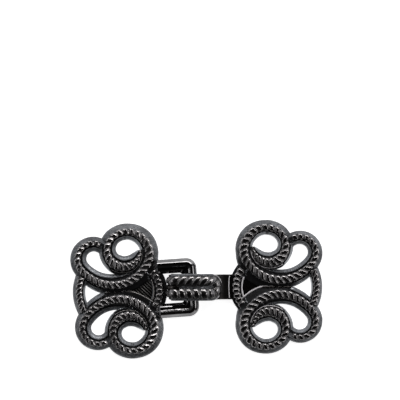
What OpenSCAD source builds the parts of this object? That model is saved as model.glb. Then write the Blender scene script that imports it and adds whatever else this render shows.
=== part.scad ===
// Hook and eye clasp for a coat or a fur: two pierced scroll castings, one with a squared loop and one with
// a hooked tongue, lying hooked together on their flat backs. Millimetres, +Z up, +X from the eye half to
// the hook half. The origin is the middle of the clasp's footprint, on the surface that it lies on.
//
// Each half is laid out in its own frame: u runs toward the other half, v across, z up from the flat back.
// A path is a start, a heading and a list of runs, each an arc or a straight: [length, turn in degrees].

/* [How the halves lie] */
// Turn of the eye half about its bar
eye_turn = 4; // [-6:0.5:6]
// Free play between the inside of the hook and the loop's bar
slack = 2.9; // [0.6:0.1:3]

/* [Scroll] */
// Start of the cord, under the big curl: toward the joint, and across
scroll_start = [-3.5, 13.2];
// Heading of the cord at its start
scroll_heading = 151.5; // [150:0.5:153]
// Runs of the cord: small curl, strand along the middle, big curl, its return, its inner curl
scroll_runs = [[11.7, 152.5], [21.3, 114.5], [16.1, 156], [6.7, 80], [12.1, 153]];
// Radius of the cord at shares of its length: [share, radius]
scroll_radii = [[0, 1.05], [0.17, 1.15], [0.35, 1.4], [0.5, 1.3], [0.72, 1.2], [0.86, 1.5], [0.92, 1.3],
                [1, 0.3]];

/* [Twisted cords] */
// Distance between the ridges
ridge_pitch = 1.7; // [1.4:0.1:2.2]
// Depth of the grooves between the ridges
groove = 0.28; // [0.1:0.02:0.4]
// Slant of the ridges away from square to the cord
ridge_slant = 32; // [20:1:36]
// Radius of the near cord, across the joint side
near_cord_r = 1.15; // [0.9:0.05:1.3]
// Bend radius of the near cord
near_bend = 7.5; // [7:0.1:9]
// Middle of the near cord, toward the joint
near_u = 11.8; // [11.5:0.1:12]
// Radius of the far cord, across the far side
far_cord_r = 1; // [0.8:0.05:1.2]
// Bend radius of the far cord
far_bend = 11; // [9:0.5:14]
// Middle of the far cord, away from the joint
far_u = 10.15; // [10:0.05:10.4]

/* [Flange] */
// Thickness of the flange under the cords
flange_t = 1.15; // [1:0.05:1.4]
// Height of the lower step along the flange's edge
step_t = 0.6; // [0.4:0.05:0.8]
// Width of the lower step along the flange's edge
step_w = 0.4; // [0.2:0.05:0.5]
// Flange beside the scroll's cord, inside its curls, at shares of its length: [share, width]
inner_rims = [[0, 1.05], [0.15, 1.1], [0.22, 1.25], [0.3, 1.2], [0.5, 0.85], [0.75, 0.9], [0.86, 1.35],
              [1, 1.1]];
// Flange beside the scroll's cord, outside its curls, at shares of its length: [share, width]
outer_rims = [[0, 0.6], [0.1, 0.8], [0.19, 0.85], [0.24, 1.1], [0.3, 1.1], [0.4, 0.8], [0.5, 1.2],
              [0.58, 1.1], [0.66, 0.8], [0.73, 0.85], [0.8, 0.75], [1, 0.75]];
// Flange outside the near and far cords
cross_rim = 0.75; // [0.7:0.05:1.1]
// What the eye half's flange is wider at each edge than the hook half's
eye_extra = 0.2; // [0:0.05:0.3]
// Height of the V-shaped floor between the scrolls
floor_t = 0.7; // [0.5:0.05:0.9]

/* [Loop] */
// Outer end of the loop, toward the joint
loop_end = 22.2; // [21:0.05:23]
// Half of the loop's width outside
loop_half = 7.95; // [7.5:0.05:8.4]
// Width of the loop's bars
bar_w = 3.9; // [3:0.1:4]
// Height of the bar's underside over the back
bar_lift = 1.3; // [1.25:0.05:1.5]
// Thickness of the bars
bar_t = 1.7; // [1.2:0.1:1.9]
// Bend radius of the loop's outer corners
loop_corner = 2.8; // [1.5:0.1:3]
// Width of the bevels along the bars' edges
bar_bevel = 1; // [0.5:0.1:1.2]
// Height of the bevels along the bars' edges
bevel_drop = 0.8; // [0.4:0.1:1]

/* [Tongue] */
// Width of the strip and of the hook
strip_w = 6.8; // [6:0.1:7]
// Thickness of the strip and of the hook
strip_t = 1.1; // [0.9:0.1:1.2]
// Width of the decorated band
band_w = 7.3; // [6.9:0.1:7.4]
// Thickness that the band adds on top of the strip
band_t = 0.3; // [0.2:0.05:0.5]
// End of the tongue, toward the joint
tongue_end = 31.15; // [30:0.05:31.5]
// Round end of the band, near the body
band_start = 15.8; // [15:0.1:16.5]
// Radius of the two cords on the band
band_cord_r = 1.5; // [1.2:0.05:1.55]
// Gap between the two cords on the band
cord_gap = 0.4; // [0.3:0.05:0.5]
// Height of the two cords over the band
band_cord_h = 0.75; // [0.5:0.05:1]
// Distance between the ridges of the band's cords
band_pitch = 1.95; // [1.6:0.05:2.3]
// Clearance between the band and the bar under it
bar_gap = 0.3; // [0.2:0.05:0.5]

/* [Hidden] */
metal = "#4a4442";
// Cords sink this far into what carries them
root = 0.85;
// Sides of a cord's half-round top
arc_sides = 5;
// Distance between the corners of a flange's outline
outline_step = 1.2;
// Turn between the corners of an arc made of straights
turn_step = 15;
// What cuts a shape reaches past it by this much
past = 1;
// Stations closer than this count as one
nearby = 0.01;
// The scroll is made in two stretches that overlap, so that neither crosses itself
split = [0.67, 0.685];
// The short cords reach this far across, into the scrolls
near_span = 5.7;
far_span = 4.6;
// Flange inside the short cords
cross_inner_rim = 0.5;
// Radius that fills the corners of the outline
fillet = 0.4;
// The web on the middle line: its ends, and how far it reaches across
web_u = [-3.5, 10.8];
web_half = 5.2;
// The loop's feet rise from the flange to the bars between these places
foot_u = [11.3, 14.8];
foot_root = 0.3;
foot_steps = 5;
// The loop's inner corners keep at least this bend radius
least_bend = 0.3;
bar_middle = loop_end - bar_w / 2;

// Paths

// Pose [x, y, heading] at the end of a run that starts at pose k
function run_end(k, length, turn) = turn == 0
    ? [k[0] + length * cos(k[2]), k[1] + length * sin(k[2]), k[2]]
    : let (r = length * 180 / (PI * turn), h = k[2] + turn)
      [k[0] + r * (sin(h) - sin(k[2])), k[1] + r * (cos(k[2]) - cos(h)), h];

// Poses at the joins of the runs that follow pose k
function joins(k, runs, i = 0) = i == len(runs)
    ? [k]
    : concat([k], joins(run_end(k, runs[i][0], runs[i][1]), runs, i + 1));

function path(start, heading, runs) = [joins([start[0], start[1], heading], runs), runs];

// Length of a path's first runs, or of all
function reach(runs, n) = n == 0 ? 0 : runs[n - 1][0] + reach(runs, n - 1);
function path_length(p) = reach(p[1], len(p[1]));

// The run that holds distance s, and the distance into it
function run_at(runs, s, i = 0) = i == len(runs) - 1 || s < runs[i][0]
    ? [i, s]
    : run_at(runs, s - runs[i][0], i + 1);

function pose(p, s) =
    let (at = run_at(p[1], s), run = p[1][at[0]])
    run_end(p[0][at[0]], at[1], run[1] * at[1] / run[0]);

// Point at distance s along a path and n to its left
function beside(p, s, n) = let (k = pose(p, s)) [k[0] - n * sin(k[2]), k[1] + n * cos(k[2])];

function flipped(p) = path([p[0][0][0], -p[0][0][1]], -p[0][0][2], [for (r = p[1]) [r[0], -r[1]]]);

function turned(q, a) = [q[0] * cos(a) - q[1] * sin(a), q[0] * sin(a) + q[1] * cos(a)];

// An arc across the half, bent round a point on its middle line: side 1 toward the joint, -1 away from it
function cross_path(side, middle_u, bend, half_span) =
    let (sweep = 2 * asin(half_span / bend), first = (side > 0 ? 0 : 180) - sweep / 2)
    path([side * (middle_u - bend) + bend * cos(first), bend * sin(first)], first + 90,
         [[bend * sweep * PI / 180, sweep]]);

scroll = path(scroll_start, scroll_heading, scroll_runs);
scroll_length = path_length(scroll);
near_path = cross_path(1, near_u, near_bend, near_span);
far_path = cross_path(-1, far_u, far_bend, far_span);

// Twisted cords

// Half-round section with a root: [share of the radius across, share of the height, share of the root]
section = concat([[-1, 0, 1]],
                 [for (i = [0 : arc_sides]) let (a = i * 180 / arc_sides) [-cos(a), sin(a), 0]],
                 [[1, 0, 1]]);

// Skin of a solid from rings of equal length, the first and last ones closed by fans
module skin(rings) {
    n = len(rings[0]);
    last = len(rings) - 1;
    polyhedron(
        points = [for (r = rings) each r],
        faces = concat(
            [for (i = [1 : n - 2]) [0, i + 1, i]],
            [for (i = [1 : n - 2]) [last * n, last * n + i, last * n + i + 1]],
            [for (j = [0 : last - 1], i = [0 : n - 1]) each
                let (a = j * n + i, b = j * n + (i + 1) % n)
                [[a, b, a + n], [b, b + n, a + n]]]
        )
    );
}

// Rings of a twisted cord from s0 to s1, alternately on a ridge and in a groove, slanted along the twist
function cord_rings(p, s0, s1, radii, pitch, slants) =
    let (length = path_length(p), count = 2 * round((s1 - s0) / pitch))
    [for (i = [0 : count])
        let (s = s0 + (s1 - s0) * i / count, r = lookup(s / length, radii) - (i % 2 == 0 ? groove : 0),
             lean = tan(lookup(s / length, slants)))
        [for (q = section) [each beside(p, s - lean * q[0] * r, q[0] * r), r * q[1], q[2]]]];

// A twisted cord that lies flat on the flange
module flat_cord(p, s0, s1, radii) {
    skin([for (ring = cord_rings(p, s0, s1, radii, ridge_pitch, [[0, ridge_slant], [1, ridge_slant]]))
        [for (q = ring) [q[0], q[1], flange_t + q[2] - root * q[3]]]]);
}

module scroll_cord(p) {
    flat_cord(p, 0, split[1] * scroll_length, scroll_radii);
    flat_cord(p, split[0] * scroll_length, scroll_length, scroll_radii);
}

// Flange

// Corners of a flange that follows a path, wider than the cord on it by rims to its left and its right
function stroke(p, s0, s1, radii, left_rims, right_rims, extra) =
    let (length = path_length(p), count = ceil((s1 - s0) / outline_step),
         stations = [for (i = [0 : count]) s0 + (s1 - s0) * i / count],
         half = function (s, rims) lookup(s / length, radii) + lookup(s / length, rims))
    concat(
        [for (s = stations) beside(p, s, half(s, left_rims) + extra)],
        [for (i = [count : -1 : 0]) beside(p, stations[i], -half(stations[i], right_rims) - extra)]
    );

function mirrored(points) = [for (q = points) [q[0], -q[1]]];

function scroll_stroke(from, to, extra) =
    stroke(scroll, from * scroll_length, to * scroll_length, scroll_radii, inner_rims, outer_rims, extra);

function cross_stroke(p, r, extra) =
    stroke(p, 0, path_length(p), [[0, r]], [[0, cross_inner_rim]], [[0, cross_rim]], extra);

// The flange's stretches: each scroll in two, the near cord's and the far cord's
function flange_strokes(extra) =
    let (first = scroll_stroke(0, split[1], extra), second = scroll_stroke(split[0], 1, extra))
    [first, second, mirrored(first), mirrored(second),
     cross_stroke(near_path, near_cord_r, extra), cross_stroke(far_path, far_cord_r, extra)];

module half_outline(extra) {
    offset(r = -fillet, $fn = 24) offset(delta = fillet)
        for (corners = flange_strokes(extra)) polygon(corners);
}

module flange(extra) {
    linear_extrude(step_t) half_outline(extra);
    translate([0, 0, step_t / 2]) linear_extrude(flange_t - step_t / 2)
        offset(delta = -step_w) half_outline(extra);
}

// The V-shaped floor between the scrolls and the near cord, which also joins the scrolls on the middle line
module web() {
    linear_extrude(floor_t) polygon([[web_u[0], 0], [web_u[1], web_half], [web_u[1], -web_half]]);
}

module half_casting(extra) {
    flange(extra);
    web();
    scroll_cord(scroll);
    scroll_cord(flipped(scroll));
    flat_cord(near_path, 0, path_length(near_path), [[0, near_cord_r]]);
    flat_cord(far_path, 0, path_length(far_path), [[0, far_cord_r]]);
}

// Loop

// Line round the loop's frame at an inset from its outer edge, from one foot to the other
function rail(inset) =
    let (half = loop_half - inset, end = loop_end - inset, r = max(loop_corner - inset, least_bend),
         foot = foot_u[1] - foot_u[0],
         side = concat([for (i = [-1 : foot_steps]) [foot_u[0] + foot * i / foot_steps, -half]],
                       [for (a = [-90 : turn_step : 0]) [end - r + r * cos(a), r - half + r * sin(a)]]))
    concat(side, [for (i = [len(side) - 1 : -1 : 0]) [side[i][0], -side[i][1]]]);

// Height of the bars' underside, which dips to the flange at the feet
function bar_floor(u) =
    let (share = max(0, min(1, (u - foot_u[0]) / (foot_u[1] - foot_u[0]))))
    foot_root + (bar_lift - foot_root) * (1 - cos(180 * share)) / 2;

module loop() {
    rails = [[0, 0], [0, bar_t - bevel_drop], [bar_bevel, bar_t], [bar_w - bar_bevel, bar_t],
             [bar_w, bar_t - bevel_drop], [bar_w, 0]];
    lines = [for (r = rails) rail(r[0])];
    skin([for (i = [0 : len(lines[0]) - 1])
        [for (k = [0 : len(rails) - 1])
            let (q = lines[k][i]) [q[0], q[1], bar_floor(q[0]) + rails[k][1]]]]);
}

// Tongue

// The strip's middle line seen from the side, from under the near cord to the end of the hook's return
strip_lift = 0.35;
strip_low = strip_lift + strip_t / 2;
strip_high = bar_lift + bar_t + bar_gap + strip_t / 2;
return_z = strip_t / 2;
rise_turn = 35;
rise_arc = 2.2;
flat_run = 3;
rise_r = rise_arc * 180 / (PI * rise_turn);
rise_run = (strip_high - strip_low - 2 * rise_r * (1 - cos(rise_turn))) / sin(rise_turn);
hook_r = (strip_high - return_z) / 2;
strip_u = 11.5;
top_u = strip_u + flat_run + 2 * rise_r * sin(rise_turn) + rise_run * cos(rise_turn);
hook_u = tongue_end - band_cord_h - band_t - strip_t / 2 - hook_r;
top_run = hook_u - top_u;
return_run = 4.5;
tongue_runs = [[flat_run, 0], [rise_arc, rise_turn], [rise_run, 0], [rise_arc, -rise_turn], [top_run, 0],
               [PI * hook_r, -180], [return_run, 0]];
tongue = path([strip_u, strip_low], 0, tongue_runs);
tongue_top = strip_high + strip_t / 2 + band_t;

// Distances along a path at the joins of its runs, and at each step of its turns
function stations(p, s0, s1) =
    let (runs = p[1])
    concat([s0],
           [for (i = [0 : len(runs) - 1]) let (parts = max(1, ceil(abs(runs[i][1]) / turn_step)))
               for (k = [0 : parts - 1]) let (s = reach(runs, i) + runs[i][0] * k / parts)
                   if (s > s0 + nearby && s < s1 - nearby) s],
           [s1]);

// A layer along the tongue between two heights over its middle line, as wide as its plan allows
module layer(s0, s1, below, above) {
    line = stations(tongue, s0, s1);
    intersection() {
        rotate([90, 0, 0]) linear_extrude(2 * band_w, center = true) polygon(concat(
            [for (s = line) beside(tongue, s, above)],
            [for (i = [len(line) - 1 : -1 : 0]) beside(tongue, line[i], below)]
        ));
        translate([0, 0, -past]) linear_extrude(tongue_top + 2 * past) children();
    }
}

// The band ends on the hook's bend, this far past the bend's start
band_stop = reach(tongue_runs, 5) + 1.2;
lobe_r = 1.7;
// Notch between the lobes: depth, and half of its width
notch = [0.9, 1.2];

// Plan of the tongue's end: two round lobes with a notch between them
module lobes(width) {
    for (side = [-1, 1])
        translate([tongue_end - lobe_r, side * (width / 2 - lobe_r)]) circle(lobe_r, $fn = 48);
    translate([tongue_end - lobe_r - past, -notch[1]])
        square([lobe_r + past - notch[0], 2 * notch[1]]);
}

module tongue_plan(start, width) {
    translate([start, -width / 2]) square([tongue_end - lobe_r - start, width]);
    lobes(width);
}

// Route of the cord on the band, unrolled: from one lobe round the band's start to the other lobe
hairpin_r = band_cord_r + cord_gap / 2;
// Its ends lie on the hook's bend, and its own bend starts this far along the strip
hairpin_s = reach(tongue_runs, 5) + 3.4;
hairpin_start = 7.7;
hairpin = path([hairpin_s, -hairpin_r], 180,
               [[hairpin_s - hairpin_start, 0], [PI * hairpin_r, -180], [hairpin_s - hairpin_start, 0]]);
hairpin_radii = [[0, 0.7], [0.02, 1.2], [0.04, band_cord_r], [0.96, band_cord_r], [0.98, 1.2], [1, 0.7]];
// The twist on the band mirrors itself about the middle of the hairpin
hairpin_slants = [[0, -36], [0.42, -36], [0.58, 36], [1, 36]];

// Point of the unrolled band, at a height over it
function on_band(d, v, h) =
    let (q = beside(tongue, d, strip_t / 2 + band_t + h))
    [q[0], v, q[1]];

module band_cord() {
    flatten = band_cord_h / band_cord_r;
    rings = cord_rings(hairpin, 0, path_length(hairpin), hairpin_radii, band_pitch, hairpin_slants);
    skin([for (ring = rings) [for (q = ring) on_band(q[0], q[1], flatten * q[2] - band_t * q[3])]]);
}

module tongue() {
    layer(0, path_length(tongue), -strip_t / 2, strip_t / 2) tongue_plan(strip_u - 1, strip_w);
    layer(flat_run, band_stop, 0, strip_t / 2 + band_t) {
        tongue_plan(band_start + band_w / 2, band_w);
        translate([band_start + band_w / 2, 0]) circle(band_w / 2, $fn = 64);
    }
    band_cord();
}

// Placing: the hook half lies square to X, and the eye half's bar lies in the hook, turned about its middle

bar_u = hook_u + hook_r - strip_t / 2 - slack - bar_w / 2;
eye_spot = -[bar_u, 0] - turned([bar_middle, 0], eye_turn);

function flat_list(lists) = [for (l = lists) each l];
footprint = concat(
    [for (q = flat_list(flange_strokes(0))) -q],
    [for (q = flat_list(flange_strokes(eye_extra))) eye_spot + turned(q, eye_turn)]
);
xs = [for (q = footprint) q[0]];
ys = [for (q = footprint) q[1]];
centre = [min(xs) + max(xs), min(ys) + max(ys)] / 2;

module eye_half() {
    color(metal) translate([eye_spot[0] - centre[0], eye_spot[1] - centre[1], 0]) rotate(eye_turn) {
        half_casting(eye_extra);
        loop();
    }
}

module hook_half() {
    color(metal) translate([-centre[0], -centre[1], 0]) rotate(180) {
        half_casting(0);
        tongue();
    }
}

eye_half();
hook_half();
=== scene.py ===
"""Hook and eye clasp of two pierced scroll castings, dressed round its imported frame.

Each half is laid out in millimetres in its own frame, u toward the other half, v across and z up from the flat
back, and every mesh is then placed in the shared frame, in metres.
"""
from __future__ import annotations

import logging
import math
from dataclasses import dataclass, field
from enum import Enum
from typing import Callable, Iterable, Sequence

import bmesh
import bpy
import numpy as np
from mathutils import Matrix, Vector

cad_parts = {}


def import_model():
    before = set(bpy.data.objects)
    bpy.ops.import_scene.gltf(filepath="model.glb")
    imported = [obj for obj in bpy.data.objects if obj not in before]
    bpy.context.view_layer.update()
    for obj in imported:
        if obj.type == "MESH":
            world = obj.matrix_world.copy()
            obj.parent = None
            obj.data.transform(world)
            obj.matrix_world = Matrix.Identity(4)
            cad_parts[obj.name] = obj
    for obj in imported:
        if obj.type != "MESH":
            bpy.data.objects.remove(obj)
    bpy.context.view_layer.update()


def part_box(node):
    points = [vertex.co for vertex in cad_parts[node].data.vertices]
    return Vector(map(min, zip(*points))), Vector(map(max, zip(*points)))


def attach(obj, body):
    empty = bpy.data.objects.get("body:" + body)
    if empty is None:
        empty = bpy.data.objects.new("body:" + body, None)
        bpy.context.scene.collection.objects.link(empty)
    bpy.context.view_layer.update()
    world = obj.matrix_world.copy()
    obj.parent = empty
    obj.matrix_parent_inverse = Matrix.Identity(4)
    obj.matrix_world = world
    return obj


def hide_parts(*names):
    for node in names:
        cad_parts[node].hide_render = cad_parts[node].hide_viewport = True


MM = 0.001
BODY = "root"
POLISH = "polish"
LOG = logging.getLogger("clasp")

Mesh = bpy.types.Mesh
NodeTree = bpy.types.NodeTree
Socket = bpy.types.NodeSocket
Point = tuple[float, float]
Triple = tuple[float, float, float]
Rows = Sequence[Point]


def lookup(rows: Rows, share: float) -> float:
    """Value of a table of (share, value) rows at a share, along straight lines between its rows."""
    return float(np.interp(share, [r[0] for r in rows], [r[1] for r in rows]))


def along(rows: Rows, shares: Iterable[float]) -> list[float]:
    """Values of a table of (share, value) rows at several shares."""
    return [lookup(rows, share) for share in shares]


def stations(span: Point, step: float, length: float = 1.0) -> list[float]:
    """Values over a span in equal steps, with both its ends.

    Args:
        span: The first and the last value.
        step: The longest step.
        length: The whole length, where the values are shares of it.

    Returns:
        The values.
    """
    first, last = span
    count = math.ceil((last - first) * length / step)
    return [first + (last - first) * k / count for k in range(count + 1)]


def arc(centre: Point, r: float, span: Point, count: int) -> list[Point]:
    """Points on an arc from one direction to another, in degrees."""
    return [(centre[0] + r * math.cos(a), centre[1] + r * math.sin(a)) for a in np.radians(np.linspace(*span, count))]


def mirrored(points: Sequence[Point]) -> list[Point]:
    """The points on the other side of the middle line, in reverse order."""
    return [(u, -v) for u, v in points[::-1]]


@dataclass(frozen=True)
class Route:
    """A plan path of arcs and straights.

    Attributes:
        start: Where it starts.
        heading: Its direction at the start, in degrees.
        runs: Its runs, each a length and a turn in degrees.
    """

    start: Point
    heading: float
    runs: tuple[Point, ...]

    @property
    def length(self) -> float:
        """Length of all runs."""
        return sum(run[0] for run in self.runs)

    def reach(self, count: int) -> float:
        """Length of the first runs."""
        return sum(run[0] for run in self.runs[:count])

    def pose(self, s: float) -> Triple:
        """Place and heading in degrees at a distance along the path.

        Args:
            s: The distance, which may lie before the first run or past the last.

        Returns:
            X, y and heading.
        """
        x, y, heading = *self.start, self.heading
        for number, (length, turn) in enumerate(self.runs):
            last = number == len(self.runs) - 1
            part = s if last else min(s, length)
            after = heading + turn * part / length
            h0, h1 = math.radians(heading), math.radians(after)
            if turn:
                r = length / math.radians(turn)
                x, y = x + r * (math.sin(h1) - math.sin(h0)), y + r * (math.cos(h0) - math.cos(h1))
            else:
                x, y = x + part * math.cos(h0), y + part * math.sin(h0)
            heading = after
            s -= part
            if s <= 0 or last:
                break
        return x, y, heading

    def beside(self, s: float, n: float) -> Point:
        """Point at a distance along the path and n to its left.

        Args:
            s: The distance.
            n: How far to the left, or to the right where it is negative.

        Returns:
            The point.
        """
        x, y, heading = self.pose(s)
        a = math.radians(heading)
        return x - n * math.sin(a), y + n * math.cos(a)

    def flipped(self) -> Route:
        """The same path on the other side of the middle line."""
        return Route((self.start[0], -self.start[1]), -self.heading, tuple((r[0], -r[1]) for r in self.runs))


def cross_route(side: int, middle: float, bend: float, half_span: float) -> Route:
    """An arc across a half, bent round a point on its middle line.

    Args:
        side: 1 toward the joint, -1 away from it.
        middle: Distance of the arc's middle from the half's origin.
        bend: Radius of the arc.
        half_span: Half of the arc's width.

    Returns:
        The arc, run counter-clockwise.
    """
    sweep = 2 * math.degrees(math.asin(half_span / bend))
    first = (0 if side > 0 else 180) - sweep / 2
    a = math.radians(first)
    start = (side * (middle - bend) + bend * math.cos(a), bend * math.sin(a))
    return Route(start, first + 90, ((bend * math.radians(sweep), sweep),))


@dataclass(frozen=True)
class Placing:
    """Where a half's own frame lies in the shared frame: a turn in degrees and a shift in millimetres."""

    turn: float
    shift: Point

    @property
    def matrix(self) -> Matrix:
        """From the half's millimetres to the shared frame's metres."""
        turn = Matrix.Rotation(math.radians(self.turn), 4, "Z")
        return Matrix.Scale(MM, 4) @ Matrix.Translation((*self.shift, 0)) @ turn


# Meshes


def loft(rings: Sequence[Sequence[Triple]],
         polish: Sequence[Sequence[float]] | None = None) -> Mesh:
    """A closed solid through rings of equal length.

    Args:
        rings: The solid's cross-sections in order, in millimetres.
        polish: How far the casting's grain is worn off at each point, from 0 to 1.

    Returns:
        A mesh with faces that point outwards.
    """
    bm = bmesh.new()
    rows = [[bm.verts.new(p) for p in ring] for ring in rings]
    size = len(rows[0])
    for a, b in zip(rows, rows[1:]):
        for i in range(size):
            j = (i + 1) % size
            bm.faces.new((a[i], a[j], b[j], b[i]))
    bm.faces.new(rows[0][::-1])
    bm.faces.new(rows[-1])
    bmesh.ops.recalc_face_normals(bm, faces=bm.faces)
    mesh = bpy.data.meshes.new("loft")
    bm.to_mesh(mesh)
    bm.free()
    if polish:
        values = [value for ring in polish for value in ring]
        mesh.attributes.new(POLISH, "FLOAT", "POINT").data.foreach_set("value", values)
    return mesh


def prism(outline: Sequence[Point], low: float, high: float) -> Mesh:
    """A straight-sided solid on a plan outline between two heights."""
    return loft([[(*p, z) for p in outline] for z in (low, high)])


def loose(data: bpy.types.ID, name: str = "draft") -> bpy.types.Object:
    """A new object for a mesh, a lamp or a camera, linked to the scene.

    Args:
        data: What the object shows.
        name: Its name.

    Returns:
        The object.
    """
    obj = bpy.data.objects.new(name, data)
    bpy.context.scene.collection.objects.link(obj)
    return obj


def settled(obj: bpy.types.Object) -> Mesh:
    """The evaluated mesh of a draft object, which is removed.

    Args:
        obj: The draft.

    Returns:
        The mesh.
    """
    bpy.context.view_layer.update()
    evaluated = obj.evaluated_get(bpy.context.evaluated_depsgraph_get())
    mesh = bpy.data.meshes.new_from_object(evaluated)
    bpy.data.objects.remove(obj)
    return mesh


def grown(mesh: Mesh, tree: NodeTree, values: dict) -> Mesh:
    """What a node tree makes of a mesh.

    Args:
        mesh: The mesh that it starts from.
        tree: The node tree.
        values: Its other inputs by name, which are set through their sockets' identifiers.

    Returns:
        The mesh that it makes.
    """
    draft = loose(mesh)
    step = draft.modifiers.new("grow", "NODES")
    step.node_group = tree
    for item in tree.interface.items_tree:
        if item.item_type == "SOCKET" and item.in_out == "INPUT" and item.name in values:
            step[item.identifier] = values[item.name]
    return settled(draft)


class Join(Enum):
    """What is kept of solids that overlap."""

    ALL = "UNION"
    COMMON = "INTERSECT"


def fused(meshes: Sequence[Mesh], join: Join = Join.ALL) -> Mesh:
    """One solid from several that overlap.

    Args:
        meshes: Closed solids.
        join: What is kept of them.

    Returns:
        The fused solid.
    """
    result = meshes[0]
    for other in meshes[1:]:
        body, tool = loose(result), loose(other, "tool")
        step = body.modifiers.new("fuse", "BOOLEAN")
        step.operation, step.solver, step.object = join.value, "MANIFOLD", tool
        result = settled(body)
        bpy.data.objects.remove(tool)
    return result


def sliced(mesh: Mesh, places: Iterable[float]) -> None:
    """Cuts a mesh's faces at places along X, so that wide faces follow when the mesh is bent.

    Args:
        mesh: The mesh.
        places: Where it is cut, inside its ends.
    """
    bm = bmesh.new()
    bm.from_mesh(mesh)
    for x in places:
        bmesh.ops.bisect_plane(bm, geom=[*bm.verts, *bm.edges, *bm.faces], dist=0.0001, plane_co=(x, 0.0, 0.0),
                               plane_no=(1.0, 0.0, 0.0))
    bm.to_mesh(mesh)
    bm.free()


def bent(mesh: Mesh, rule: Callable[[float, float, float], Triple]) -> None:
    """Moves each vertex of a mesh to where a rule sends it.

    Args:
        mesh: The mesh.
        rule: New place of a vertex from its old one.
    """
    for vertex in mesh.vertices:
        vertex.co = rule(*vertex.co)
    mesh.update()


class Edges(Enum):
    """How a piece's faces meet, by the angle in degrees from which an edge is sharp."""

    SOFT = 180.0
    CRISP = 28.0
    CUT = 12.0


def finished(name: str, mesh: Mesh, placing: Placing, finish: Finish, edges: Edges,
             stands_for: Iterable[str] = ()) -> bpy.types.Object:
    """Places a mesh in the shared frame and makes it a piece of the clasp.

    Args:
        name: The piece's name.
        mesh: Its mesh, in its half's millimetres.
        placing: Where the half lies.
        finish: The piece's finish.
        edges: How its faces meet.
        stands_for: Frame nodes that it stands for.

    Returns:
        The piece.
    """
    mesh.transform(placing.matrix)
    mesh.name = name
    mesh.materials.clear()
    mesh.materials.append(finish.material())
    for polygon in mesh.polygons:
        polygon.use_smooth = True
    mesh.set_sharp_from_angle(angle=math.radians(edges.value))
    piece = loose(mesh, name)
    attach(piece, BODY)
    if stands_for:
        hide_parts(*stands_for)
    LOG.info("%s: %d faces, finish %s", name, len(mesh.polygons), finish.name)
    return piece


# Node trees


class Net:
    """Helper that adds nodes to a tree and links them."""

    def __init__(self, tree: NodeTree) -> None:
        """Takes the tree to fill."""
        self.tree = tree

    def put(self, node: bpy.types.Node, links: dict) -> None:
        """Links or sets a node's inputs, by name or number.

        Args:
            node: The node.
            links: Sockets or values by input.
        """
        for key, value in links.items():
            if isinstance(value, Socket):
                self.tree.links.new(value, node.inputs[key])
            else:
                node.inputs[key].default_value = value

    def add(self, kind: str, links: dict | None = None, **settings) -> bpy.types.Node:
        """Adds a node.

        Args:
            kind: The node's type.
            links: Sockets or values by input name or number.
            **settings: The node's own properties.

        Returns:
            The node.
        """
        node = self.tree.nodes.new(kind)
        for key, value in settings.items():
            setattr(node, key, value)
        self.put(node, links or {})
        return node

    def out(self, kind: str, links: dict | None = None, **settings) -> Socket:
        """Adds a node as add does, for its first output."""
        return self.add(kind, links, **settings).outputs[0]

    def calc(self, operation: str, *values: Socket | float, clamp: bool = False) -> Socket:
        """Result of a Math node on up to three values."""
        return self.out("ShaderNodeMath", dict(enumerate(values)), operation=operation, use_clamp=clamp)

    def times(self, product: Socket | float, *values: Socket | float) -> Socket:
        """Product of several values.

        Args:
            product: The first value.
            values: The others.

        Returns:
            The product's socket.
        """
        for value in values:
            product = self.calc("MULTIPLY", product, value)
        return product

    def rest(self, value: Socket) -> Socket:
        """What a value leaves of 1."""
        return self.calc("SUBTRACT", 1.0, value)

    def vector(self, operation: str, *values: Socket | Triple, out: str = "Vector") -> Socket:
        """Result of a Vector Math node."""
        return self.add("ShaderNodeVectorMath", dict(enumerate(values)), operation=operation).outputs[out]

    def ramp(self, value: Socket, low: float, high: float, to_low: float = 0.0, to_high: float = 1.0) -> Socket:
        """Result of a smooth, clamped Map Range node."""
        return self.out("ShaderNodeMapRange", {"Value": value, "From Min": low, "From Max": high, "To Min": to_low,
                                               "To Max": to_high}, interpolation_type="SMOOTHSTEP")

    def mark(self, name: str) -> Socket:
        """A mesh's value by name, in a material."""
        return self.add("ShaderNodeAttribute", attribute_name=name).outputs["Fac"]

    def mix(self, share: Socket, low: Triple, high: Socket | Triple) -> Socket:
        """A colour between two by a share."""
        high = high if isinstance(high, Socket) else (*high, 1.0)
        return self.add("ShaderNodeMix", {0: share, 6: (*low, 1.0), 7: high}, data_type="RGBA").outputs[2]

    def close(self, shape: Socket, finish: Socket) -> NodeTree:
        """Ends a tree whose one output is a shape with a finish.

        Args:
            shape: The shape.
            finish: Its finish.

        Returns:
            The tree.
        """
        real = self.out("GeometryNodeRealizeInstances", {"Geometry": shape})
        self.add("NodeGroupOutput", {0: self.out("GeometryNodeSetMaterial", {"Geometry": real, "Material": finish})})
        return self.tree


class Inlet(Enum):
    """Kinds of socket that a node group offers."""

    SHAPE = "NodeSocketGeometry"
    NUMBER = "NodeSocketFloat"
    COUNT = "NodeSocketInt"
    VECTOR = "NodeSocketVector"
    FINISH = "NodeSocketMaterial"


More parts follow.
